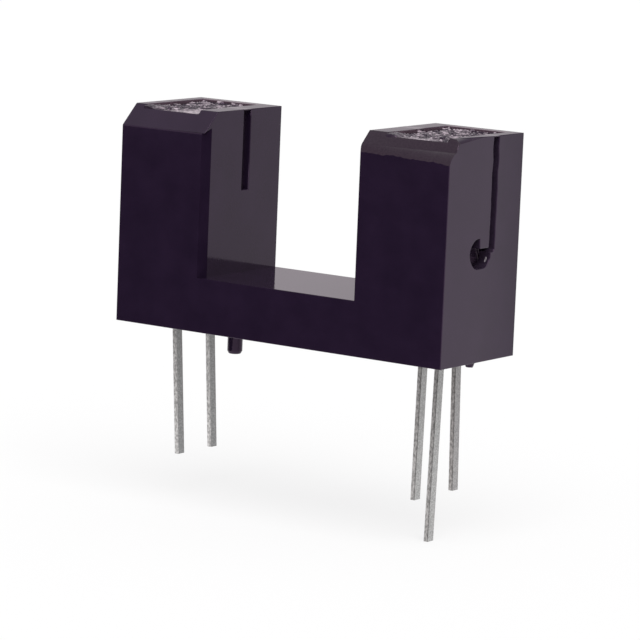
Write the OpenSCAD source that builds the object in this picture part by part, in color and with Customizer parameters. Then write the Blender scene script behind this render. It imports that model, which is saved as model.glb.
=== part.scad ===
// Slotted optical switch: a U-shaped moulding with an infrared emitter in one tower and a photodetector
// in the other. The origin is on the board's surface, under the middle of the housing. X runs from the
// emitter (-X) to the detector (+X), the chamfered front faces -Y and the leads point down to -Z.

/* [Housing] */
// Overall width across both towers
body_w = 20; // [19:0.1:24]
// Depth from the chamfered front to the back
body_d = 6.53; // [6.2:0.01:8]
// Height from the underside to the tops of the towers
body_h = 11.13; // [10:0.01:14]
// Width of the slot that the beam crosses
slot_w = 9.52; // [7:0.01:10.2]
// Height of the slot's floor above the underside
slot_floor = 2.77; // [2:0.01:5]

/* [Pockets] */
// Wall between a pocket and the slot
slot_wall = 1.1; // [0.8:0.05:1.5]
// Wall at the outer end of a tower
outer_wall = 0.66; // [0.5:0.02:1.2]
// Wall at the chamfered front of the emitter's tower
emitter_front_wall = 0.9; // [0.7:0.02:1.1]
// Wall at the chamfered front of the detector's tower
detector_front_wall = 0.52; // [0.4:0.02:0.7]
// Wall at the back
back_wall = 0.7; // [0.5:0.05:1]
// Thickness of the pocket's floor, which the leads pass through
floor_t = 1.2; // [0.8:0.1:2]

/* [Chamfers] */
// Emitter tower's chamfer, along the depth
emitter_chamfer_d = 1.1; // [0.6:0.05:1.2]
// Emitter tower's chamfer, down the front
emitter_chamfer_h = 1.05; // [0.5:0.05:1.5]
// Radius where the emitter tower's chamfer meets the front
emitter_chamfer_r = 0.12; // [0.05:0.01:0.5]
// Detector tower's chamfer, along the depth
detector_chamfer_d = 0.72; // [0.4:0.02:0.9]
// Detector tower's chamfer, down the front
detector_chamfer_h = 0.63; // [0.4:0.01:1]
// Radius where the detector tower's chamfer meets the front
detector_chamfer_r = 0.12; // [0.05:0.01:0.5]
// Lead-in at the emitter tower's corner of the slot, along the width
lead_in_w = 0.16; // [0.05:0.01:0.5]
// Lead-in at the emitter tower's corner of the slot, along the depth
lead_in_d = 0.62; // [0.3:0.02:1]
// Rise of the lead-in's upper end from the front to the back
lead_in_rise = 0.25; // [0.05:0.05:0.6]

/* [Apertures] */
// Width of the slit that each beam passes through
aperture_w = 0.6; // [0.3:0.05:1]
// Depth of that slit from the top of the tower
aperture_h = 4.13; // [3.2:0.01:6]
// Height of the beam's axis below the top of the tower
beam_drop = 2.54; // [2:0.01:3]
// Place of the beam's axis along the depth, from the middle
beam_y = 0.325; // [0:0.025:0.4]

/* [Vent] */
// Width of the slit down the detector tower's outer wall
vent_w = 0.48; // [0.3:0.01:0.7]
// Place of the slit along the depth, from the middle
vent_y = 0.825; // [0.6:0.025:0.95]
// Depth of the slit from the top of the tower
vent_h = 5.73; // [4:0.01:7]
// Height of the long hole that the slit's foot runs into
vent_hole_h = 1.48; // [1.2:0.01:1.6]
// Length of that hole along the depth
vent_hole_l = 1.82; // [1.7:0.02:2.2]
// Place of the hole along the depth, from the middle
vent_hole_y = -0.185; // [-0.4:0.005:-0.1]
// Width of the tongue that hangs into the hole beside the slit
vent_tongue_w = 0.85; // [0.4:0.05:1.2]

/* [Underside] */
// Diameter of the locating peg
peg_d = 0.78; // [0.65:0.01:1.2]
// Length of the locating peg below the underside
peg_l = 1.42; // [0.8:0.01:2.5]
// Length of the peg's tapered tip
peg_tip = 0.15; // [0.1:0.05:0.4]
// Diameter of the peg at its end
peg_end_d = 0.62; // [0.3:0.01:0.72]
// Distance of the peg from the middle, towards the emitter
peg_x = 4.77; // [3:0.01:5.5]
// Diameter of the standoff at each end, where it meets the underside
standoff_d = 0.56; // [0.4:0.02:0.9]
// Diameter of a standoff at its tip
standoff_end_d = 0.36; // [0.2:0.02:0.5]
// Height of the standoffs
standoff_h = 0.27; // [0.15:0.01:0.6]
// Distance of a standoff's centre from the end of the housing
standoff_inset = 0.45; // [0.3:0.05:1]

/* [Leads] */
// Thickness of the lead frame's sheet
lead_t = 0.25; // [0.15:0.01:0.3]
// Width of a lead
lead_w = 0.5; // [0.3:0.01:0.55]
// Distance between the emitter's leads
emitter_pitch = 2.79; // [2.4:0.01:3]
// Distance between neighbouring leads of the detector
detector_pitch = 1.5; // [1.4:0.01:1.6]
// Length of the emitter's leads and the detector's outer leads below the underside
lead_l = 7; // [3:0.1:15]
// Length of the ground lead below the underside
ground_lead_l = 9.3; // [4:0.1:18]
// How far the emitter's lead frame stands back from the pocket's middle
emitter_set_back = 0.13; // [0:0.01:0.3]
// How far the detector's lead frame stands back from the pocket's middle
detector_set_back = 0; // [0:0.01:0.3]
// Clearance around a lead in its hole
lead_clearance = 0.05; // [0.02:0.01:0.1]
// Lean of the emitter's leads to the back, in degrees
emitter_lean_angle = 4.9; // [-6:0.1:6]
// Lean of the supply lead to the back, in degrees
supply_lean_angle = -1.2; // [-6:0.1:6]
// Lean of the ground lead to the back, in degrees
ground_lean_angle = -1.8; // [-6:0.1:6]
// Lean of the output lead to the back, in degrees
output_lean_angle = 2; // [-6:0.1:6]

/* [Chips] */
// Side of the pad that carries a chip
pad_size = 1.3; // [1:0.05:1.5]
// Side of the emitter's chip
emitter_chip_size = 0.35; // [0.2:0.05:0.6]
// Side of the detector's chip
detector_chip_size = 1; // [0.6:0.05:1]
// Thickness of a chip
chip_t = 0.22; // [0.15:0.01:0.3]
// Distance of a bond from the edge of the detector's chip
bond_inset = 0.15; // [0.1:0.01:0.25]
// Diameter of a bond wire
wire_d = 0.05; // [0.03:0.01:0.08]

/* [Resin] */
// Drop of the resin's surface below the top of a tower
resin_drop = 0.2; // [0.05:0.05:0.6]
// Drop of a package's top below the top of the tower
package_drop = 1; // [0.8:0.05:1.2]
// Resin on each side of a package
resin_side = 0.1; // [0.05:0.01:0.2]
// Resin behind a package
resin_back = 0.7; // [0.3:0.05:0.9]
// How far the resin in a slit stops short of the wall's face
resin_recess = 0.35; // [0.1:0.05:0.45]
// Thickness of the resin that lies across the top of a slit, level with the rim
resin_skin = 0.05; // [0.03:0.01:0.1]

/* [Hidden] */
$fn = 48;

// How far a cut runs past a face, and a boss into the body
past = 1;

underside_z = standoff_h;
top_z = underside_z + body_h;
beam_z = top_z - beam_drop;
tower_w = (body_w - slot_w) / 2;

pocket_w = tower_w - slot_wall - outer_wall;
pocket_x = slot_w / 2 + slot_wall + pocket_w / 2;
pocket_back = body_d / 2 - back_wall - beam_y;
pocket_z = underside_z + floor_t;

vent_foot_z = top_z - vent_h + vent_w / 2;

resin_z = top_z - resin_drop;
package_w = 2 * (pocket_back - resin_side);
package_t = pocket_w - resin_back;
package_z = top_z - package_drop;

frame_top_z = beam_z + pad_size / 2;
tip_z = underside_z - lead_l;
ground_tip_z = underside_z - ground_lead_l;
anode_y = -emitter_pitch / 2;
cathode_y = emitter_pitch / 2;
bond_y = detector_chip_size / 2 - bond_inset;

housing_colour = [0.13, 0.09, 0.16];
resin_colour = [0.3, 0.26, 0.32];
lead_colour = [0.72, 0.72, 0.74];
epoxy_colour = [0.75, 0.8, 0.9, 0.5];
chip_colour = [0.25, 0.25, 0.3];
wire_colour = [0.85, 0.68, 0.3];

// Places: both towers are drawn with the beam along y = 0, the pocket's middle at x = 0 and the slot towards +X
module in_emitter_tower() {
    translate([-pocket_x, beam_y, 0])
        children();
}

module in_detector_tower() {
    mirror([1, 0, 0])
        in_emitter_tower()
            children();
}

// A block that is centred on x and y
module block(width, depth, low_z, high_z) {
    translate([-width / 2, -depth / 2, low_z])
        cube([width, depth, high_z - low_z]);
}

// Housing
module peg() {
    straight = peg_l - peg_tip;
    translate([-peg_x, 0, underside_z - straight])
        cylinder(d = peg_d, h = straight + past);
    translate([-peg_x, 0, underside_z - peg_l])
        cylinder(d1 = peg_end_d, d2 = peg_d, h = peg_tip);
}

module standoffs() {
    for (side = [-1, 1])
        translate([side * (body_w / 2 - standoff_inset), 0, 0]) {
            cylinder(d1 = standoff_end_d, d2 = standoff_d, h = standoff_h);
            translate([0, 0, standoff_h])
                cylinder(d = standoff_d, h = past);
        }
}

// The front top corner that a chamfer takes off, along +X, with the chamfer's upper edge on the X axis
module chamfer_cut(length, depth, height, radius) {
    slope = atan2(height, depth);
    reach = radius * tan((90 - slope) / 2);
    outline = [
        [-depth - past, -height - reach],
        [-depth, -height - reach],
        [-depth + reach * cos(slope), -height + reach * sin(slope)],
        [past * cos(slope), past * sin(slope)],
        [-depth - past, past * sin(slope)]
    ];
    rotate([90, 0, 90])
        difference() {
            linear_extrude(length)
                polygon(outline);
            translate([radius - depth, -height - reach, -past])
                cylinder(r = radius, h = length + 2 * past);
        }
}

module emitter_chamfer() {
    translate([-body_w / 2 - past, emitter_chamfer_d - body_d / 2, top_z])
        chamfer_cut(tower_w + 2 * past, emitter_chamfer_d, emitter_chamfer_h, emitter_chamfer_r);
}

module detector_chamfer() {
    translate([slot_w / 2 - past, detector_chamfer_d - body_d / 2, top_z])
        chamfer_cut(tower_w + 2 * past, detector_chamfer_d, detector_chamfer_h, detector_chamfer_r);
}

// What the lead-in takes off the emitter tower's corner, from the slot's floor up to the foot of the chamfer
module lead_in() {
    foot_z = underside_z + slot_floor;
    end_z = top_z - emitter_chamfer_h;
    plan = [
        [-lead_in_w, -past],
        [-lead_in_w, 0],
        [0, lead_in_d],
        [past, lead_in_d],
        [past, -past]
    ];
    side = [
        [-past, foot_z],
        [-past, end_z],
        [0, end_z],
        [lead_in_d, end_z + lead_in_rise],
        [lead_in_d, foot_z]
    ];
    translate([-slot_w / 2, -body_d / 2, 0])
        intersection() {
            linear_extrude(top_z)
                polygon(plan);
            rotate([90, 0, 90])
                linear_extrude(2 * past, center = true)
                    polygon(side);
        }
}

// A tower's pocket, behind its front wall and between two heights
module pocket(front_wall, low_z, high_z) {
    front = front_wall - body_d / 2 - beam_y;
    translate([-pocket_w / 2, front, low_z])
        cube([pocket_w, pocket_back - front, high_z - low_z]);
}

// The slit from the pocket to the slot
module aperture() {
    translate([pocket_w / 2 + slot_wall / 2, 0, 0])
        block(slot_wall + past, aperture_w, top_z - aperture_h, top_z + past);
}

module lead_hole(y, set_back) {
    translate([-set_back, y, 0])
        block(lead_t + 2 * lead_clearance, lead_w + 2 * lead_clearance, underside_z - past, pocket_z + past);
}

// A round hole through the detector tower's outer wall
module wall_hole(y, z, diameter) {
    translate([body_w / 2 - outer_wall / 2, y, z])
        rotate([0, 90, 0])
            cylinder(d = diameter, h = outer_wall + past, center = true);
}

// A block through the detector tower's outer wall
module wall_block(y, width, low_z, high_z, run = past) {
    translate([body_w / 2 - outer_wall / 2, y, 0])
        block(outer_wall + run, width, low_z, high_z);
}

// The long hole at the slit's foot, with round ends
module vent_hole() {
    straight = vent_hole_l - vent_hole_h;
    middle_z = top_z - vent_h;
    wall_block(vent_hole_y, straight, middle_z - vent_hole_h / 2, middle_z + vent_hole_h / 2);
    for (end = [-1, 1])
        wall_hole(vent_hole_y + end * straight / 2, middle_z, vent_hole_h);
}

// A slit down the outer wall that hooks into the hole, with a tongue left standing beside the slit
module vent() {
    wall_block(vent_y, vent_w, vent_foot_z, top_z + past);
    wall_hole(vent_y, vent_foot_z, vent_w);
    difference() {
        vent_hole();
        wall_block(vent_y - (vent_w + vent_tongue_w) / 2, vent_tongue_w, vent_foot_z, top_z, run = 2 * past);
    }
}

module housing() {
    color(housing_colour)
        difference() {
            union() {
                block(body_w, body_d, underside_z, top_z);
                peg();
                standoffs();
            }
            block(slot_w, body_d + 2 * past, underside_z + slot_floor, top_z + past);
            emitter_chamfer();
            detector_chamfer();
            lead_in();
            vent();
            in_emitter_tower() {
                pocket(emitter_front_wall, pocket_z, top_z + past);
                aperture();
                for (y = [anode_y, cathode_y])
                    lead_hole(y, emitter_set_back);
            }
            in_detector_tower() {
                pocket(detector_front_wall, pocket_z, top_z + past);
                aperture();
                for (y = [-detector_pitch, 0, detector_pitch])
                    lead_hole(y, detector_set_back);
            }
        }
}

// Lead frames: stamped from sheet, with each outline drawn across the depth (y) and the height (z)
module stamped(outline) {
    rotate([90, 0, 90])
        linear_extrude(lead_t, center = true)
            polygon(outline);
}

// A lead that runs straight through the floor and leans from the underside to its tip
module lead(y, low_z, lean_angle) {
    half = lead_w / 2;
    lean = (underside_z - low_z) * tan(lean_angle);
    stamped([
        [y - half, frame_top_z],
        [y - half, underside_z],
        [y - half + lean, low_z],
        [y + half + lean, low_z],
        [y + half, underside_z],
        [y + half, frame_top_z]
    ]);
}

module pad(low_y, high_y) {
    stamped([
        [low_y, beam_z - pad_size / 2],
        [high_y, beam_z - pad_size / 2],
        [high_y, frame_top_z],
        [low_y, frame_top_z]
    ]);
}

module chip(size) {
    translate([lead_t / 2 + chip_t / 2, 0, 0])
        block(chip_t, size, beam_z - size / 2, beam_z + size / 2);
}

// A half loop from the top of a chip, at chip_y, to the face of a lead, at lead_y
module bond_wire(chip_y, lead_y) {
    chip_top = lead_t / 2 + chip_t;
    translate([chip_top, (chip_y + lead_y) / 2, beam_z])
        rotate([0, 0, -90])
            rotate_extrude(angle = 180)
                translate([abs(lead_y - chip_y) / 2, 0])
                    circle(d = wire_d);
    translate([lead_t / 2, lead_y, beam_z])
        rotate([0, 90, 0])
            cylinder(d = wire_d, h = chip_t);
}

// The outside of a clear package, seated on the pocket's floor against the wall with the aperture
module package_block() {
    translate([(pocket_w - package_t) / 2, 0, 0])
        block(package_t, package_w, pocket_z, package_z);
}

// Resin in a slit through a wall, from the wall's inside at x = 0, with a skin to the wall's face at the top
module slit_fill(wall, width, low_z) {
    inner = wall - resin_recess;
    translate([inner / 2, 0, 0])
        block(inner, width, low_z, top_z);
    translate([wall / 2, 0, 0])
        block(wall, width, top_z - resin_skin, top_z);
}

module aperture_fill() {
    translate([pocket_w / 2, 0, 0])
        slit_fill(slot_wall, aperture_w, top_z - aperture_h);
}

module vent_fill() {
    translate([-pocket_w / 2, vent_y - beam_y, 0])
        mirror([1, 0, 0])
            slit_fill(outer_wall, vent_w, vent_foot_z);
}

// Resin around a package and in the slits that its pocket opens into
module potting(front_wall) {
    difference() {
        union() {
            pocket(front_wall, pocket_z, resin_z);
            aperture_fill();
            children();
        }
        package_block();
    }
}

// Emitter
module in_emitter_frame() {
    in_emitter_tower()
        translate([-emitter_set_back, 0, 0])
            children();
}

module anode_lead() {
    color(lead_colour)
        in_emitter_frame()
            lead(anode_y, tip_z, emitter_lean_angle);
}

module cathode_lead() {
    color(lead_colour)
        in_emitter_frame() {
            lead(cathode_y, tip_z, emitter_lean_angle);
            pad(-pad_size / 2, cathode_y);
        }
}

module emitter_chip() {
    color(chip_colour)
        in_emitter_frame()
            chip(emitter_chip_size);
}

module emitter_bond_wire() {
    color(wire_colour)
        in_emitter_frame()
            bond_wire(0, anode_y);
}

module emitter_package() {
    color(epoxy_colour)
        difference() {
            in_emitter_tower()
                package_block();
            anode_lead();
            cathode_lead();
            emitter_chip();
            emitter_bond_wire();
        }
}

module emitter_potting() {
    color(resin_colour)
        difference() {
            in_emitter_tower()
                potting(emitter_front_wall);
            emitter_chamfer();
        }
}

// Detector
module in_detector_frame() {
    in_detector_tower()
        translate([-detector_set_back, 0, 0])
            children();
}

module supply_lead() {
    color(lead_colour)
        in_detector_frame()
            lead(-detector_pitch, tip_z, supply_lean_angle);
}

module ground_lead() {
    color(lead_colour)
        in_detector_frame() {
            lead(0, ground_tip_z, ground_lean_angle);
            pad(-pad_size / 2, pad_size / 2);
        }
}

module output_lead() {
    color(lead_colour)
        in_detector_frame()
            lead(detector_pitch, tip_z, output_lean_angle);
}

module detector_chip() {
    color(chip_colour)
        in_detector_frame()
            chip(detector_chip_size);
}

module supply_bond_wire() {
    color(wire_colour)
        in_detector_frame()
            bond_wire(-bond_y, -detector_pitch);
}

module output_bond_wire() {
    color(wire_colour)
        in_detector_frame()
            bond_wire(bond_y, detector_pitch);
}

module detector_package() {
    color(epoxy_colour)
        difference() {
            in_detector_tower()
                package_block();
            supply_lead();
            ground_lead();
            output_lead();
            detector_chip();
            supply_bond_wire();
            output_bond_wire();
        }
}

module detector_potting() {
    color(resin_colour)
        difference() {
            in_detector_tower()
                potting(detector_front_wall)
                    vent_fill();
            detector_chamfer();
        }
}

housing();
emitter_package();
emitter_chip();
emitter_bond_wire();
anode_lead();
cathode_lead();
emitter_potting();
detector_package();
detector_chip();
supply_bond_wire();
output_bond_wire();
supply_lead();
ground_lead();
output_lead();
detector_potting();
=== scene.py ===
"""Looks of the slotted optical switch: the finish and fine form of each piece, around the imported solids."""

import math

import bmesh
import bpy
from mathutils import Matrix, Vector, noise


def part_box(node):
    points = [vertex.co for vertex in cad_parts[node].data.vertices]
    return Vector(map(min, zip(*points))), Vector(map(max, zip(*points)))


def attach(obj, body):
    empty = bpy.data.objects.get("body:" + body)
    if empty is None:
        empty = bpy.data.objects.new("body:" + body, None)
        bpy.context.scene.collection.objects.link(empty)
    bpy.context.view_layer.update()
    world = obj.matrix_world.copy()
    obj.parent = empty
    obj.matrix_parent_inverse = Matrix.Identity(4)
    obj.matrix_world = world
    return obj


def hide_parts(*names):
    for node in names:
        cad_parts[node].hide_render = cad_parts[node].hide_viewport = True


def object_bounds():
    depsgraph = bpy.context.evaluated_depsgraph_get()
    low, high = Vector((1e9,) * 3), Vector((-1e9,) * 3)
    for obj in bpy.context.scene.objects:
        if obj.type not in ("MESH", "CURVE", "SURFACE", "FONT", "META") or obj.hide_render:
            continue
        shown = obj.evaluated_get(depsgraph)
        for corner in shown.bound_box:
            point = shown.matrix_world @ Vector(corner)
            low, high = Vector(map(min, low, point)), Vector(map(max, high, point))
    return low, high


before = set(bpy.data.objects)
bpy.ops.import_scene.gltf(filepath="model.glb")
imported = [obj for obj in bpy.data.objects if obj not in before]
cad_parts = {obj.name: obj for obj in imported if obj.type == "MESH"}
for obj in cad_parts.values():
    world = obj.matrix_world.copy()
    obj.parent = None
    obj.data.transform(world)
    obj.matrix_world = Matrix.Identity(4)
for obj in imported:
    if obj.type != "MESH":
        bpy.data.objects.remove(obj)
cad_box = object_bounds()

MM = 0.001

# Camera: the view that fits the edges of the housing in the photograph
AZIMUTH = math.radians(35.125)
ELEVATION = math.radians(8.812)
ROLL = math.radians(2.366)
DISTANCE = 187.92 * MM
AIM_ACROSS = -0.209 * MM
AIM_UP = 4.613 * MM
FOCAL_PIXELS = 3738.2
IMAGE_PIXELS = 640
SENSOR_MM = 36
CLIP_START = 1 * MM
CLIP_END = 10

# Meshes: angles and distances that tell edges and faces apart, and the names of two layers
FLAT = math.radians(0.5)
CREASE = math.radians(12)
SHARP = math.radians(30)
MERGE = 0.0005 * MM
FACING = 0.99
EDGE_ON = 0.01
EDGE_STEPS = 3
BEVEL_WEIGHT = "bevel_weight_edge"
FILM_AND_HIGHLIGHT = "film_and_highlight"

# Housing
BODY_H = 11.13 * MM
SLOT_W = 9.52 * MM
SLOT_WALL = 1.1 * MM
OUTER_WALL = 0.66 * MM
EDGE_R = 0.03 * MM
LEAD_IN_LEAST = 0.9
LEAD_IN_MOST = 0.99

# Skewed chamfer of the detector tower, and the uneven band under it
CHAMFER_D = 0.72 * MM
CHAMFER_H = 0.63 * MM
CHAMFER_SKEW = 0.2 * MM
BAND_DROP = 1.03 * MM
BAND_TILT = 0.03
BAND_FOOT_SLOPE = 0.044
BAND_LEAN = 0.06 * MM
BAND_OUTER_LEAN = 0.32 * MM
BAND_STEP = 0.08 * MM
BAND_ROW = 0.05 * MM
BAND_TREND = 0.16 * MM
AT_FOOT = 0.01
AT_TOP = 0.99
WAVE_HEIGHT = 0.09 * MM
WAVE_LENGTH = 0.8 * MM
WAVE_SEED = 3.1
RIPPLE_SHARE = 0.5
RIPPLE_LENGTH = WAVE_LENGTH / 3
RIPPLE_SEED = 7.7

# Worn outer top edge of the detector tower
WORN_W = 0.3 * MM
WORN_H = 0.25 * MM
WORN_END = -0.2 * MM

# Slits, and the uneven edges of the vent
SLIT_REACH = 1.5 * MM
VENT_REACH = 1.3 * MM
VENT_DEPTH = 1 * MM
VENT_LOW = 4.5 * MM
VENT_STEP = 0.12 * MM
VENT_WANDER = 0.05 * MM
VENT_LENGTH = 0.7 * MM
VENT_Y_SEED = 21
VENT_Z_SEED = 57

# Painted glint: a pale spot in the wall of the vent's hole, standing in for a highlight
GLINT_DEPTH = 0.22 * MM
GLINT_Y = 0.632 * MM
GLINT_Z = 5.311 * MM
GLINT_W = 0.055 * MM
GLINT_L = 0.17 * MM
GLINT_TILT = math.radians(42)

# Gloss of the plastic and the resin, and how much duller the slot's walls, the rims and the outer end are
GLOSS_IOR = 1.44
GLOSS_TINT = (1, 0.7, 1, 1)
GLOSS = 0.47
SLOT_DULL = 0.14
RIM_DULL = 0.39
END_DULL = 0.02
BACK_DULL = 0.15
SLOT_MARGIN = 0.2 * MM
RIM_EDGE = 0.01 * MM

# Colours of the plastic: clean, paler where the chamfer faces up (painted sheen), smeared about the pockets,
# paler in the vent (painted light), and a painted glint in the vent's hole
FLOW_LENGTH = 1.6 * MM
GRAIN_LENGTH = 0.09 * MM
GRAIN_BUMP = 0.0006 * MM
SHEEN_TILT = 0.02
POCKET_FRONT = 1.1 * MM
POCKET_BACK = 0.3 * MM
CLEAN = (0.013, 0.0071, 0.019), (0.017, 0.0093, 0.024)
CHAMFER_SHEEN = (0.019, 0.0132, 0.0195), (0.028, 0.0205, 0.0275)
SMEAR = (0.07, 0.045, 0.06), (0.11, 0.075, 0.095)
VENT_PAINTED_LIGHT = (0.022, 0.014, 0.028), (0.036, 0.024, 0.044)
PAINTED_GLINT = (0.2, 0.18, 0.2), (0.5, 0.46, 0.5)

# Resin: calm_x and bubble_x are shares of its width, from the left
RESIN_STEP = 0.03 * MM
UPWARD = 0.5
CRINKLE_HEIGHT = 0.1 * MM
CRINKLE_LENGTH = 0.42 * MM
SWELL_SHARE = 0.5
SWELL_LENGTH = 3 * CRINKLE_LENGTH
PLEAT_LENGTH = CRINKLE_LENGTH / 2
SPIKE_SHARE = 0.6
SPIKE_LENGTH = 0.13 * MM
FOLD_SEED = 5
PLEAT_SEED = 9
SPIKE_SEED = 13
CREST = 0.25
MENISCUS_W = 0.12 * MM
MENISCUS_H = 0.06 * MM
BACK_RISE = 0.07 * MM
BANK_W = 0.9 * MM
BANK_FRONT = 0.45 * MM
BANK_START = 0.65
BANK_L = 1.3 * MM
BUBBLE_R = 0.17 * MM
RIM_CLEAR = 0.03 * MM
TUCK_START = 0.3
TUCK_FALL = 3
FILL_FILM_AND_HIGHLIGHT = 0.2
EMITTER_RESIN = {
    "calm_x": 1,
    "calm_r": 2.6 * MM,
    "bubble_x": 0.38,
    "bubble_back": 0.4 * MM,
    "tuck": 0,
    "seed": 11,
}
DETECTOR_RESIN = {
    "calm_x": 0.5,
    "calm_r": 1.2 * MM,
    "bubble_x": 0.69,
    "bubble_back": 1.4 * MM,
    "tuck": 0.26 * MM,
    "seed": 42,
}
PATCH_LENGTH = 0.25 * MM
RESIN_GRAIN = 0.08 * MM
RESIN_BUMP = 0.003 * MM
RESIN_DARK = (0.016, 0.01, 0.02)
# The pale colour serves the resin's pale skin and the highlights painted on its crinkle crests
RESIN_PALE_AND_HIGHLIGHT = (0.5, 0.42, 0.47)

# Leads: each tin has a colour for its rolled faces and one for its sheared faces
LEAD_EDGE_R = 0.02 * MM
BRIGHT_TIN = (0.51, 0.51, 0.505), (0.56, 0.55, 0.54)
GREY_TIN = (0.44, 0.43, 0.43), (0.53, 0.51, 0.5)
DULL_TIN = (0.33, 0.33, 0.33), (0.72, 0.71, 0.7)
# Painted shadow of the housing on the leads: how far down it fades, and how dark it is at the top
HOUSING_SHADOW_L = 6 * MM
HOUSING_SHADOW = 0.72
# Painted shadow line along the burr of the sheared faces: its width and how dark it is
BURR_SHADOW_W = 0.05 * MM
BURR_PAINTED_SHADOW = 0.5
SPECK_LENGTH = 0.07 * MM
SPECK_SHADES = 0.7, 1.1
TEAR_LENGTH = 0.1 * MM
TEAR_STRETCH = 0.6
TEAR_SHADES = 0.5, 1.1
TEAR_BUMP = 0.012 * MM

# Sealed pieces: the lengths of their fine marks
CLOUD_LENGTH = 0.8 * MM
CELL_LENGTH = 0.3 * MM
POLISH_LENGTH = 0.05 * MM
DRAWN_LENGTH = 0.02 * MM

# Studio
FLOOR_R = 900 * MM
FLOOR_CORNERS = 64
FLOOR_WHITE = 0.92
FLOOR_SHADE = 0.25
MAT_NEAR = 45 * MM
MAT_FAR = 230 * MM
MAT_W = 110 * MM
MAT_LIFT = 0.2 * MM
HORIZON_LEVEL = 0.62
HORIZON_TINT = (1, 0.92, 0.97, 1)
HORIZON_TOP = 0.2
TINT_END = 0.6
ZENITH_LEVEL = 0.6
SUN_LEVEL = 1.9
SUN_ANGLE = math.radians(50)
SUN_FROM = Vector((0.5, -0.6, 1.2))

body_low, body_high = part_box("housing")
TOP_Z = body_high.z
MIDDLE = Vector((0, 0, TOP_Z - BODY_H / 2))
FLOOR_Z = cad_box[0][2]
BAND_Z = TOP_Z - BAND_DROP
OUTER_WALL_X = body_high.x - OUTER_WALL + RIM_EDGE


# Mesh tools
def solid_of(node):
    """The node's form as a new bmesh, with whole flat faces and its sharp convex edges marked."""
    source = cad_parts[node].data
    form = bmesh.new()
    corners = [form.verts.new(v.co) for v in source.vertices]
    for face in source.polygons:
        form.faces.new([corners[i] for i in face.vertices])
    bmesh.ops.remove_doubles(form, verts=form.verts, dist=MERGE)
    bmesh.ops.dissolve_limit(form, angle_limit=FLAT, verts=form.verts, edges=form.edges)
    form.normal_update()
    weight = form.edges.layers.float.new(BEVEL_WEIGHT)
    for edge in form.edges:
        edge.smooth = edge.calc_face_angle(0) < CREASE
        edge[weight] = edge.is_convex and edge.calc_face_angle(0) > SHARP
    return form


def cut_along(form, faces, point, normal):
    """Cuts some faces by one plane."""
    edges = {e for f in faces for e in f.edges}
    verts = {v for f in faces for v in f.verts}
    chosen = [*verts, *edges, *faces]
    bmesh.ops.bisect_plane(form, geom=chosen, plane_co=point, plane_no=normal, dist=MERGE)


def cut_across(form, chosen, axis, step):
    """Cuts the chosen faces by planes a step apart along an axis."""
    places = [v.co[axis] for f in chosen(form) for v in f.verts]
    low, high = min(places), max(places)
    count = round((high - low) / step)
    normal = Vector((0, 0, 0))
    normal[axis] = 1
    for i in range(1, count):
        cut_along(form, chosen(form), normal * (low + (high - low) * i / count), normal)


def wander(point, length, seed):
    """Smooth noise from -1 to 1 that changes over about one length."""
    return noise.noise(point / length + Vector((seed, 0, 0)))


def piece_of(form, name, material, node):
    """A new object from the bmesh, in place of the node."""
    mesh = bpy.data.meshes.new(name)
    form.normal_update()
    form.to_mesh(mesh)
    form.free()
    mesh.materials.append(material)
    mesh.shade_smooth()
    piece = bpy.data.objects.new(name, mesh)
    bpy.context.scene.collection.objects.link(piece)
    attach(piece, "root")
    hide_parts(node)
    return piece


def round_edges(piece, radius, limit):
    """Rounds the edges of an object, either those with an angle or those with a weight."""
    bevel = piece.modifiers.new("edges", "BEVEL")
    bevel.width = radius
    bevel.segments = EDGE_STEPS
    bevel.limit_method = limit
    bevel.angle_limit = SHARP
    bevel.use_clamp_overlap = False
    bevel.loop_slide = False
    even = piece.modifiers.new("even", "WEIGHTED_NORMAL")
    even.keep_sharp = True


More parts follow.
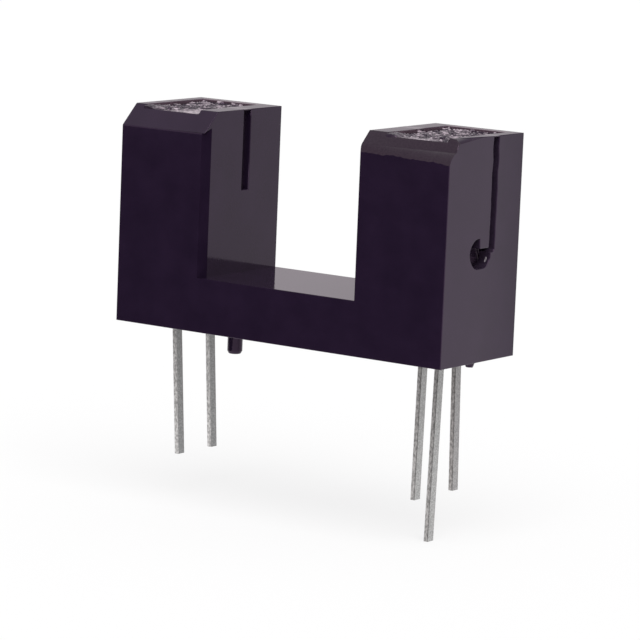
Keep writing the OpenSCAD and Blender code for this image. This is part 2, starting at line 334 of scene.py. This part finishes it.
# Materials
class Finish:
    """A material that is built around one Principled shader."""

    def __init__(self, name):
        self.material = bpy.data.materials.new(name)
        self.material.use_nodes = True
        self.nodes = self.material.node_tree.nodes
        self.shader = self.nodes["Principled BSDF"]
        self.place = self.nodes.new("ShaderNodeTexCoord").outputs["Object"]

    def link(self, start, end):
        """Joins an output to an input."""
        self.material.node_tree.links.new(start, end)

    def stretched(self, x, y, z):
        """Object coordinates, scaled along each axis."""
        node = self.nodes.new("ShaderNodeMapping")
        node.inputs["Scale"].default_value = (x, y, z)
        self.link(self.place, node.inputs["Vector"])
        return node.outputs["Vector"]

    def noise(self, length, detail=3, vector=None):
        """Noise whose features are about one length across."""
        node = self.nodes.new("ShaderNodeTexNoise")
        node.inputs["Scale"].default_value = 1 / length
        node.inputs["Detail"].default_value = detail
        self.link(vector or self.place, node.inputs["Vector"])
        return node.outputs["Fac"]

    def math(self, operation, first, second):
        """One step of arithmetic on two outputs, or on an output and a number."""
        node = self.nodes.new("ShaderNodeMath")
        node.operation = operation
        for value, socket in zip((first, second), node.inputs):
            if isinstance(value, bpy.types.NodeSocket):
                self.link(value, socket)
            else:
                socket.default_value = value
        return node.outputs["Value"]

    def within(self, value, low, high):
        """One where a value lies between two limits, and zero elsewhere."""
        return self.product(self.math("GREATER_THAN", value, low), self.math("LESS_THAN", value, high))

    def product(self, first, *others):
        """Shares multiplied together, which is one only where each of them is."""
        for other in others:
            first = self.math("MULTIPLY", first, other)
        return first

    def less(self, value, share, drop):
        """A value that falls by a drop where a share is one."""
        return self.math("SUBTRACT", value, self.math("MULTIPLY", share, drop))

    def axis(self, vector, name):
        """One part of a vector."""
        node = self.nodes.new("ShaderNodeSeparateXYZ")
        self.link(vector, node.inputs["Vector"])
        return node.outputs[name]

    def ramp(self, factor, low, high, start=0.3, end=0.7):
        """Values or colours from low to high, as the factor goes from start to end."""
        node = self.nodes.new("ShaderNodeValToRGB")
        for stop, place, value in zip(node.color_ramp.elements, (start, end), (low, high)):
            stop.position = place
            stop.color = (*value, 1) if isinstance(value, tuple) else (value, value, value, 1)
        self.link(factor, node.inputs["Fac"])
        return node.outputs["Color"]

    def times(self, first, second):
        """Two colours multiplied together."""
        node = self.nodes.new("ShaderNodeMix")
        node.data_type = "RGBA"
        node.blend_type = "MULTIPLY"
        node.inputs["Factor"].default_value = 1
        self.link(first, node.inputs[6])
        self.link(second, node.inputs[7])
        return node.outputs[2]

    def mix(self, factor, first, second):
        """The first colour where the factor is zero, and the second where it is one."""
        node = self.nodes.new("ShaderNodeMix")
        node.data_type = "RGBA"
        self.link(factor, node.inputs["Factor"])
        self.link(first, node.inputs[6])
        self.link(second, node.inputs[7])
        return node.outputs[2]

    def bump(self, height, depth):
        """Fine relief on the surface."""
        node = self.nodes.new("ShaderNodeBump")
        node.inputs["Distance"].default_value = depth
        node.inputs["Strength"].default_value = 1
        self.link(height, node.inputs["Height"])
        self.link(node.outputs["Normal"], self.shader.inputs["Normal"])

    def set(self, **values):
        """Sets the shader's own sockets, or links them to another node's output."""
        for name, value in values.items():
            socket = self.shader.inputs[name.replace("_", " ")]
            if isinstance(value, bpy.types.NodeSocket):
                self.link(value, socket)
            else:
                socket.default_value = value


def on_painted_sheen(finish, normal):
    """One on the detector tower's chamfer, on the band under it and on the rim's front edge, where they face
    upwards: the place of a painted sheen.
    """
    chamfer_back = body_low.y + CHAMFER_D + CHAMFER_SKEW
    uphill = finish.math("GREATER_THAN", finish.axis(normal, "Z"), SHEEN_TILT)
    in_front = finish.math("LESS_THAN", finish.axis(finish.place, "Y"), chamfer_back)
    on_detector = finish.math("GREATER_THAN", finish.axis(finish.place, "X"), SLOT_W / 2)
    return finish.product(uphill, in_front, on_detector)


def in_pocket(finish, from_middle, depth):
    """One over the pockets' width and depth and the nearer part of their back rims, at any height."""
    across = finish.within(from_middle, SLOT_W / 2 + SLOT_WALL - RIM_EDGE, OUTER_WALL_X)
    along = finish.within(depth, body_low.y + POCKET_FRONT, body_high.y - POCKET_BACK)
    return finish.product(across, along)


def in_vent(finish, depth, height):
    """One within the outer wall's thickness about the vent, where the walls are painted paler to lift their
    shade.
    """
    across = finish.within(finish.axis(finish.place, "X"), OUTER_WALL_X, body_high.x - EDGE_R)
    along = finish.within(depth, -VENT_REACH, VENT_REACH)
    up = finish.within(height, VENT_LOW, TOP_Z - RIM_EDGE)
    return finish.product(across, along, up)


def in_painted_glint(finish):
    """One inside a long thin ellipsoid in the wall of the vent's hole, where a glint is painted."""
    place = finish.nodes.new("ShaderNodeMapping")
    place.vector_type = "TEXTURE"
    place.inputs["Location"].default_value = (body_high.x - GLINT_DEPTH, GLINT_Y, GLINT_Z)
    place.inputs["Rotation"].default_value = (-GLINT_TILT, 0, 0)
    place.inputs["Scale"].default_value = (GLINT_W, GLINT_W, GLINT_L)
    finish.link(finish.place, place.inputs["Vector"])
    distance = finish.nodes.new("ShaderNodeVectorMath")
    distance.operation = "LENGTH"
    finish.link(place.outputs["Vector"], distance.inputs[0])
    return finish.math("LESS_THAN", distance.outputs["Value"], 1)


def plastic_gloss(finish, normal, from_middle, depth, height):
    """The moulding's gloss, lower on the slot's walls, on the rims and towards the back of the outer end."""
    in_slot = finish.math("LESS_THAN", from_middle, SLOT_W / 2 + SLOT_MARGIN)
    sideways = finish.math("ABSOLUTE", finish.axis(normal, "X"), 0)
    on_end = finish.math("GREATER_THAN", finish.axis(finish.place, "X"), body_high.x - RIM_EDGE)
    to_back = finish.math("MAXIMUM", finish.math("DIVIDE", depth, body_high.y), 0)
    end_dull = finish.math("ADD", END_DULL, finish.math("MULTIPLY", to_back, BACK_DULL))
    on_rim = finish.math("GREATER_THAN", height, TOP_Z - RIM_EDGE)
    gloss = finish.less(GLOSS, finish.product(in_slot, sideways), SLOT_DULL)
    gloss = finish.less(gloss, on_end, end_dull)
    return finish.less(gloss, on_rim, RIM_DULL)


def plastic():
    """Glossy purple-black moulding with faint flow marks and paler smears, with painted sheen on the chamfer,
    painted light on the vent's walls and a painted glint in the vent's hole.
    """
    finish = Finish("moulding")
    normal = finish.nodes.new("ShaderNodeNewGeometry").outputs["Normal"]
    from_middle = finish.math("ABSOLUTE", finish.axis(finish.place, "X"), 0)
    depth = finish.axis(finish.place, "Y")
    height = finish.axis(finish.place, "Z")
    flow = finish.noise(FLOW_LENGTH, detail=2)
    grain = finish.noise(GRAIN_LENGTH, detail=2)
    colour = finish.ramp(flow, *CLEAN)
    # painted sheen: a paler colour where the detector tower's chamfer and band face upwards
    colour = finish.mix(on_painted_sheen(finish, normal), colour, finish.ramp(grain, *CHAMFER_SHEEN))
    colour = finish.mix(in_pocket(finish, from_middle, depth), colour, finish.ramp(grain, *SMEAR))
    # painted light: the vent's walls are paler, making up for the shade inside the vent
    colour = finish.mix(in_vent(finish, depth, height), colour, finish.ramp(grain, *VENT_PAINTED_LIGHT))
    # painted highlight: a pale spot for the glint in the vent's hole
    colour = finish.mix(in_painted_glint(finish), colour, finish.ramp(grain, *PAINTED_GLINT))
    finish.set(
        Base_Color=colour,
        Roughness=finish.ramp(grain, 0.05, 0.11),
        Specular_IOR_Level=plastic_gloss(finish, normal, from_middle, depth, height),
        Specular_Tint=GLOSS_TINT,
        IOR=GLOSS_IOR,
    )
    finish.bump(grain, GRAIN_BUMP)
    return finish.material


def resin():
    """Glossy dark potting resin, with a pale skin where it is calm and painted highlights on the crests of
    its crinkles.
    """
    finish = Finish("resin")
    film_and_highlight = finish.nodes.new("ShaderNodeAttribute")
    film_and_highlight.attribute_name = FILM_AND_HIGHLIGHT
    patch = finish.ramp(finish.noise(PATCH_LENGTH), 0.3, 1.0, start=0.4, end=0.6)
    pale = finish.math("MULTIPLY", film_and_highlight.outputs["Fac"], patch)
    grain = finish.noise(RESIN_GRAIN)
    finish.set(
        Base_Color=finish.ramp(pale, RESIN_DARK, RESIN_PALE_AND_HIGHLIGHT, start=0, end=1),
        Roughness=finish.ramp(grain, 0.06, 0.16),
        Specular_IOR_Level=GLOSS,
        Specular_Tint=GLOSS_TINT,
        IOR=GLOSS_IOR,
    )
    finish.bump(grain, RESIN_BUMP)
    return finish.material


def shades(colour, dark, pale):
    """A darker and a paler shade of a colour."""
    return tuple(dark * c for c in colour), tuple(pale * c for c in colour)


def tin(name, rolled, sheared, burr_shadow_x):
    """Tin plating: smooth on the rolled faces, torn on the sheared ones, with a painted shadow of the housing
    that darkens it towards the housing and a painted shadow line along the burr.
    """
    finish = Finish(name)
    geometry = finish.nodes.new("ShaderNodeNewGeometry")
    turned = finish.math("ABSOLUTE", finish.axis(geometry.outputs["Normal"], "Y"), 0)
    speck = finish.noise(SPECK_LENGTH, detail=4)
    tear = finish.noise(TEAR_LENGTH, vector=finish.stretched(1, 1, TEAR_STRETCH))
    # to_tip drives the painted shadow of the housing, darkest at the housing's underside
    to_tip = finish.math("DIVIDE", finish.axis(finish.place, "Z"), -HOUSING_SHADOW_L)
    # painted shadow: a darker strip along the burr at the edge of the sheared faces
    in_burr_shadow = finish.math("GREATER_THAN", finish.axis(finish.place, "X"), burr_shadow_x)
    smooth_colour = finish.ramp(speck, *shades(rolled, *SPECK_SHADES), start=0.4, end=0.6)
    torn_colour = finish.ramp(tear, *shades(sheared, *TEAR_SHADES), start=0.35, end=0.65)
    torn_colour = finish.times(torn_colour, finish.ramp(in_burr_shadow, 1.0, BURR_PAINTED_SHADOW, start=0, end=1))
    colour = finish.mix(turned, smooth_colour, torn_colour)
    finish.set(
        Base_Color=finish.times(colour, finish.ramp(to_tip, HOUSING_SHADOW, 1.0, start=0, end=1)),
        Metallic=1.0,
        Roughness=finish.ramp(turned, 0.4, 0.5),
    )
    finish.bump(tear, TEAR_BUMP)
    return finish.material


def clear_epoxy():
    """Clear moulding compound of the sealed packages."""
    finish = Finish("clear_epoxy")
    cloud = finish.noise(CLOUD_LENGTH, detail=2)
    finish.set(
        Base_Color=finish.ramp(cloud, (0.72, 0.75, 0.82), (0.8, 0.83, 0.9)),
        Roughness=finish.ramp(cloud, 0.05, 0.12),
        Transmission_Weight=0.9,
        IOR=1.54,
    )
    return finish.material


def chip_surface():
    """Polished semiconductor with a fine grid of cells."""
    finish = Finish("chip")
    cells = finish.nodes.new("ShaderNodeTexBrick")
    cells.inputs["Scale"].default_value = 1 / CELL_LENGTH
    cells.inputs["Color1"].default_value = (0.06, 0.06, 0.09, 1)
    cells.inputs["Color2"].default_value = (0.09, 0.08, 0.12, 1)
    cells.inputs["Mortar"].default_value = (0.3, 0.28, 0.2, 1)
    turned = finish.nodes.new("ShaderNodeMapping")
    turned.inputs["Rotation"].default_value = (0, math.pi / 2, 0)
    finish.link(finish.place, turned.inputs["Vector"])
    finish.link(turned.outputs["Vector"], cells.inputs["Vector"])
    grain = finish.noise(POLISH_LENGTH, detail=2)
    finish.set(
        Base_Color=cells.outputs["Color"],
        Roughness=finish.ramp(grain, 0.12, 0.25),
        Metallic=0.4,
    )
    return finish.material


def gold():
    """Drawn gold of the bond wires."""
    finish = Finish("gold")
    drawn = finish.noise(DRAWN_LENGTH, detail=2)
    finish.set(
        Base_Color=finish.ramp(drawn, (0.8, 0.56, 0.22), (0.9, 0.68, 0.3)),
        Metallic=1.0,
        Roughness=finish.ramp(drawn, 0.2, 0.32),
    )
    return finish.material


# Pieces
def band_faces(form):
    """The detector tower's chamfer, and the band of the front below it."""

    def in_band(face):
        middle = face.calc_center_median()
        return face.normal.y < -BAND_TILT and middle.x > SLOT_W / 2 and middle.z > BAND_Z

    return [f for f in form.faces if in_band(f)]


def uneven_band(form):
    """Skews the detector tower's chamfer, and rounds the band under it back from an uneven foot."""
    corner_z = TOP_Z - CHAMFER_H
    edge_y = body_low.y + CHAMFER_D
    band_h = corner_z - BAND_Z
    weight = form.edges.layers.float[BEVEL_WEIGHT]
    rows = round(band_h / BAND_ROW)
    for i in range(rows):
        front = [f for f in form.faces if f.normal.y < -FACING]
        cut_along(form, front, (0, 0, BAND_Z + band_h * i / rows), (0, 0, 1))
    cut_across(form, band_faces, 0, BAND_STEP)
    for vert in {v for f in band_faces(form) for v in f.verts if v.co.y < edge_y + MERGE}:
        rise = min(1, (vert.co.z - BAND_Z) / band_h)
        fade = max(0, (edge_y - vert.co.y) / CHAMFER_D)
        outward = (vert.co.x - SLOT_W / 2) / (body_high.x - SLOT_W / 2)
        lean = BAND_LEAN + (BAND_OUTER_LEAN - BAND_LEAN) * outward
        along = Vector((vert.co.x, 0, 0))
        wave = wander(along, WAVE_LENGTH, WAVE_SEED)
        wave += RIPPLE_SHARE * wander(along, RIPPLE_LENGTH, RIPPLE_SEED)
        vert.co.y += fade * (BAND_FOOT_SLOPE * band_h * rise + lean * rise ** 3)
        vert.co.y += CHAMFER_SKEW * rise * outward
        vert.co.z += (1 - rise) * (WAVE_HEIGHT * wave - BAND_TREND * outward ** 2)
        for edge in vert.link_edges:
            other = edge.other_vert(vert).co
            if rise < AT_FOOT and abs(other.x - vert.co.x) > MERGE:
                edge.smooth = False
            if rise > AT_FOOT and min(other.x, vert.co.x) > body_high.x - MERGE:
                edge[weight] = 0
            if rise * fade > AT_TOP and abs(other.x - vert.co.x) > MERGE:
                edge.smooth = True
                edge[weight] = 0


def worn_edge(form):
    """Wears the detector tower's outer top edge flat, from its front corner to a point towards the back."""
    corner = Vector((body_high.x, body_low.y + CHAMFER_D, TOP_Z))
    end = Vector((body_high.x, WORN_END, TOP_Z))
    on_rim = corner - Vector((WORN_W, 0, 0))
    on_side = corner - Vector((0, 0, WORN_H))
    normal = (on_rim - end).cross(on_side - end).normalized()
    everything = [*form.verts, *form.edges, *form.faces]
    cut = bmesh.ops.bisect_plane(
        form, geom=everything, plane_co=end, plane_no=normal, dist=MERGE, clear_outer=True
    )["geom_cut"]
    outline = [e for e in cut if isinstance(e, bmesh.types.BMEdge)]
    bmesh.ops.holes_fill(form, edges=outline)
    weight = form.edges.layers.float[BEVEL_WEIGHT]
    for edge in outline:
        edge.smooth = True
        edge[weight] = 0


def uneven_vent(form):
    """Lets the sides of the vent in the detector tower's outer wall wander."""

    def in_wall(face):
        middle = face.calc_center_median()
        runs_through = abs(face.normal.x) < EDGE_ON and face.normal.z < FACING
        in_reach = abs(middle.y) < VENT_REACH and middle.z > VENT_LOW
        return runs_through and in_reach and middle.x > body_high.x - VENT_DEPTH

    def walls(form):
        return [f for f in form.faces if in_wall(f)]

    cut_across(form, walls, 2, VENT_STEP)
    for vert in {v for f in walls(form) for v in f.verts}:
        if vert.co.z < TOP_Z - MERGE:
            height = Vector((0, vert.co.y, vert.co.z))
            vert.co.y += VENT_WANDER * wander(height, VENT_LENGTH, VENT_Y_SEED)
            vert.co.z += VENT_WANDER * wander(height, VENT_LENGTH, VENT_Z_SEED)


def crisp_lead_in(form):
    """Keeps the edges square on the flat that leads into the slot at the emitter tower's front."""
    weight = form.edges.layers.float[BEVEL_WEIGHT]
    for face in form.faces:
        if LEAD_IN_LEAST < face.normal.x < LEAD_IN_MOST and face.calc_center_median().z > 0:
            for edge in face.edges:
                edge[weight] = 0


def flush_slits(form):
    """Keeps the edges square where resin fills the top of a slit, level with the rim."""
    weight = form.edges.layers.float[BEVEL_WEIGHT]
    for edge in form.edges:
        first, second = (v.co for v in edge.verts)
        at_top = min(first.z, second.z) > TOP_Z - MERGE
        if at_top and abs(first.y - second.y) < MERGE and abs(first.y) < SLIT_REACH:
            edge[weight] = 0


def housing_piece(material):
    """The moulding with its wear and its rounded edges."""
    form = solid_of("housing")
    flush_slits(form)
    crisp_lead_in(form)
    uneven_band(form)
    worn_edge(form)
    uneven_vent(form)
    piece = piece_of(form, "moulded_housing", material, "housing")
    round_edges(piece, EDGE_R, "WEIGHT")
    return piece


def resin_piece(node, name, material, calm_x, calm_r, bubble_x, bubble_back, tuck, seed):
    """A crinkled potting, banked up in its front left corner, with a calm patch in front and one bubble."""
    form = solid_of(node)
    film_and_highlight = form.verts.layers.float.new(FILM_AND_HIGHLIGHT)
    upward = [f for f in form.faces if f.normal.z > FACING]
    level = max(upward, key=lambda f: f.calc_area()).calc_center_median().z

    def surface(form):
        return [
            f
            for f in form.faces
            if f.normal.z > UPWARD and abs(f.calc_center_median().z - level) < MERGE
        ]

    cut_across(form, surface, 0, RESIN_STEP)
    cut_across(form, surface, 1, RESIN_STEP)
    verts = {v for f in surface(form) for v in f.verts}
    low = Vector((min(v.co.x for v in verts), min(v.co.y for v in verts), 0))
    high = Vector((max(v.co.x for v in verts), max(v.co.y for v in verts), 0))
    calm = Vector((low.x + (high.x - low.x) * calm_x, low.y, 0))
    bubble = Vector((low.x + (high.x - low.x) * bubble_x, low.y + bubble_back, 0))
    for vert in verts:
        flat = Vector((vert.co.x, vert.co.y, 0))
        back = flat.y - low.y
        beside = max(0, 1 - (flat.x - low.x) / BANK_W) * max(0, 1 - (back - BANK_FRONT) / BANK_L)
        bank = min(1, BANK_START + (1 - BANK_START) * back / BANK_FRONT) * min(1, beside)
        dome = max(0, 1 - ((flat - bubble).length / BUBBLE_R) ** 2) ** 0.5
        rough = min(1, (flat - calm).length / calm_r) ** 2 * (1 - bank)
        swell = wander(flat, SWELL_LENGTH, seed)
        fold = wander(flat, CRINKLE_LENGTH, seed + FOLD_SEED)
        fold -= abs(wander(flat, PLEAT_LENGTH, seed + PLEAT_SEED))
        relief = fold + SPIKE_SHARE * wander(flat, SPIKE_LENGTH, seed + SPIKE_SEED)
        crest = min(1, max(0, relief / CREST))
        to_wall = min(high.x - flat.x, high.y - flat.y)
        creep = max(0, 1 - to_wall / MENISCUS_W) ** 2
        lift = CRINKLE_HEIGHT * (SWELL_SHARE * swell + rough * relief) + MENISCUS_H * creep
        lift += bank * (TOP_Z - level) + dome * BUBBLE_R + BACK_RISE * back / (high.y - low.y)
        across = (flat.x - low.x) / (high.x - low.x)
        tucked = max(0, tuck * (TUCK_START + (1 - TUCK_START) * across) - back)
        vert.co.z = min(vert.co.z + lift, TOP_Z - RIM_CLEAR) - TUCK_FALL * tucked
        # The pale value is a pale resin skin where the resin is calm, and painted highlights on the crests of
        # its crinkles
        vert[film_and_highlight] = (1 - rough * (1 - crest)) * (1 - min(1, beside)) ** 2 * (dome == 0)
    for vert in form.verts:
        if vert.co.z > TOP_Z - MERGE and low.x - MERGE < vert.co.x < high.x + MERGE:
            vert[film_and_highlight] = FILL_FILM_AND_HIGHLIGHT
    return piece_of(form, name, material, node)


def dress_node(node, material, edge_r=0):
    """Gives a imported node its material, and rounds its edges."""
    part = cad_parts[node]
    part.data.materials.clear()
    part.data.materials.append(material)
    if edge_r:
        weld = part.modifiers.new("weld", "WELD")
        weld.merge_threshold = MERGE
        round_edges(part, edge_r, "ANGLE")


def lead_edge(node):
    """Where a lead's right-hand face lies."""
    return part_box(node)[1].x


def build_object():
    """Every piece of the object, each with its finish."""
    moulding = plastic()
    potting = resin()
    bright_tin = tin("bright_tin", *BRIGHT_TIN, lead_edge("ground_lead") - BURR_SHADOW_W)
    # A darker copy of the bright tin, for the output lead at the back
    grey_tin = tin("grey_tin", *GREY_TIN, lead_edge("output_lead") - BURR_SHADOW_W)
    dull_tin = tin("dull_tin", *DULL_TIN, lead_edge("anode_lead"))
    epoxy = clear_epoxy()
    chip = chip_surface()
    wire = gold()
    housing_piece(moulding)
    resin_piece("emitter_potting", "emitter_resin", potting, **EMITTER_RESIN)
    resin_piece("detector_potting", "detector_resin", potting, **DETECTOR_RESIN)
    for node in ("anode_lead", "cathode_lead"):
        dress_node(node, dull_tin, LEAD_EDGE_R)
    for node in ("supply_lead", "ground_lead"):
        dress_node(node, bright_tin, LEAD_EDGE_R)
    dress_node("output_lead", grey_tin, LEAD_EDGE_R)
    for node in ("emitter_package", "detector_package"):
        dress_node(node, epoxy)
    for node in ("emitter_chip", "detector_chip"):
        dress_node(node, chip)
    for node in ("emitter_bond_wire", "supply_bond_wire", "output_bond_wire"):
        dress_node(node, wire)


# Studio
def camera():
    """The camera that sees the part as the photograph does."""
    back = Vector((
        math.sin(AZIMUTH) * math.cos(ELEVATION),
        -math.cos(AZIMUTH) * math.cos(ELEVATION),
        math.sin(ELEVATION),
    ))
    level = Vector((0, 0, 1)).cross(back).normalized()
    upright = back.cross(level)
    across = level * math.cos(ROLL) + upright * math.sin(ROLL)
    up = upright * math.cos(ROLL) - level * math.sin(ROLL)
    data = bpy.data.cameras.new("camera")
    data.sensor_width = SENSOR_MM
    data.lens = FOCAL_PIXELS / IMAGE_PIXELS * SENSOR_MM
    data.clip_start = CLIP_START
    data.clip_end = CLIP_END
    eye = bpy.data.objects.new("camera", data)
    bpy.context.scene.collection.objects.link(eye)
    turn = Matrix((across, up, back)).transposed().to_4x4()
    place = MIDDLE + back * DISTANCE - across * AIM_ACROSS - up * AIM_UP
    eye.matrix_world = Matrix.Translation(place) @ turn
    bpy.context.scene.camera = eye


def stage_piece(name, corners, finish):
    """A flat piece of the studio, which isn't part of the object."""
    mesh = bpy.data.meshes.new(name)
    mesh.from_pydata(corners, [], [range(len(corners))])
    mesh.materials.append(finish.material)
    part = bpy.data.objects.new(name, mesh)
    bpy.context.scene.collection.objects.link(part)
    return part


def pale_floor():
    """A matt white that the camera and shiny pieces see as white paper, with some of the shadow left."""
    finish = Finish("floor")
    path = finish.nodes.new("ShaderNodeLightPath").outputs
    seen = finish.math("MAXIMUM", path["Is Camera Ray"], path["Is Glossy Ray"])
    seen = finish.math("MAXIMUM", seen, path["Is Transmission Ray"])
    finish.set(
        Base_Color=finish.ramp(seen, FLOOR_WHITE, FLOOR_WHITE * FLOOR_SHADE, start=0, end=1),
        Emission_Color=(1, 1, 1, 1),
        Emission_Strength=finish.math("MULTIPLY", seen, 1 - FLOOR_SHADE),
        Roughness=0.9,
        Specular_IOR_Level=0.0,
    )
    return finish


def dark_mat():
    """A matt black."""
    finish = Finish("mat")
    finish.set(Base_Color=(0.01, 0.01, 0.01, 1), Roughness=0.9, Specular_IOR_Level=0.0)
    return finish


def ground():
    """A white floor, and a dark mat that shows only in reflections."""
    turns = [2 * math.pi * i / FLOOR_CORNERS for i in range(FLOOR_CORNERS)]
    rim = [(FLOOR_R * math.cos(a), FLOOR_R * math.sin(a), FLOOR_Z) for a in turns]
    stage_piece("floor", rim, pale_floor())

    away = Vector((-math.sin(AZIMUTH), -math.cos(AZIMUTH), 0))
    aside = Vector((-away.y, away.x, 0)) * MAT_W / 2
    near = away * MAT_NEAR + Vector((0, 0, FLOOR_Z + MAT_LIFT))
    far = away * MAT_FAR + Vector((0, 0, FLOOR_Z + MAT_LIFT))
    mat = stage_piece("mat", [near - aside, near + aside, far + aside, far - aside], dark_mat())
    mat.visible_camera = False
    mat.visible_diffuse = False
    mat.visible_shadow = False


def sky():
    """Soft light from all round, tinted near the horizon."""
    world = bpy.data.worlds.new("studio")
    bpy.context.scene.world = world
    world.use_nodes = True
    nodes, links = world.node_tree.nodes, world.node_tree.links
    way = nodes.new("ShaderNodeSeparateXYZ")
    tint = nodes.new("ShaderNodeValToRGB")
    tint.color_ramp.elements[0].position = HORIZON_TOP
    tint.color_ramp.elements[0].color = HORIZON_TINT
    tint.color_ramp.elements[1].position = TINT_END
    links.new(way.outputs["Z"], tint.inputs["Fac"])
    links.new(tint.outputs["Color"], nodes["Background"].inputs["Color"])
    level = nodes.new("ShaderNodeMapRange")
    level.inputs["To Min"].default_value = HORIZON_LEVEL
    level.inputs["To Max"].default_value = ZENITH_LEVEL
    links.new(nodes.new("ShaderNodeTexCoord").outputs["Generated"], way.inputs["Vector"])
    links.new(way.outputs["Z"], level.inputs["Value"])
    links.new(level.outputs["Result"], nodes["Background"].inputs["Strength"])


def sunlight():
    """One broad light from the front right."""
    data = bpy.data.lights.new("sun", "SUN")
    data.energy = SUN_LEVEL
    data.angle = SUN_ANGLE
    sun = bpy.data.objects.new("sun", data)
    bpy.context.scene.collection.objects.link(sun)
    sun.rotation_euler = (-SUN_FROM).to_track_quat("-Z", "Y").to_euler()


def studio():
    """What stands around the object, and how its light is shown."""
    ground()
    sky()
    sunlight()
    bpy.context.scene.view_settings.view_transform = "Standard"


build_object()
camera()
studio()
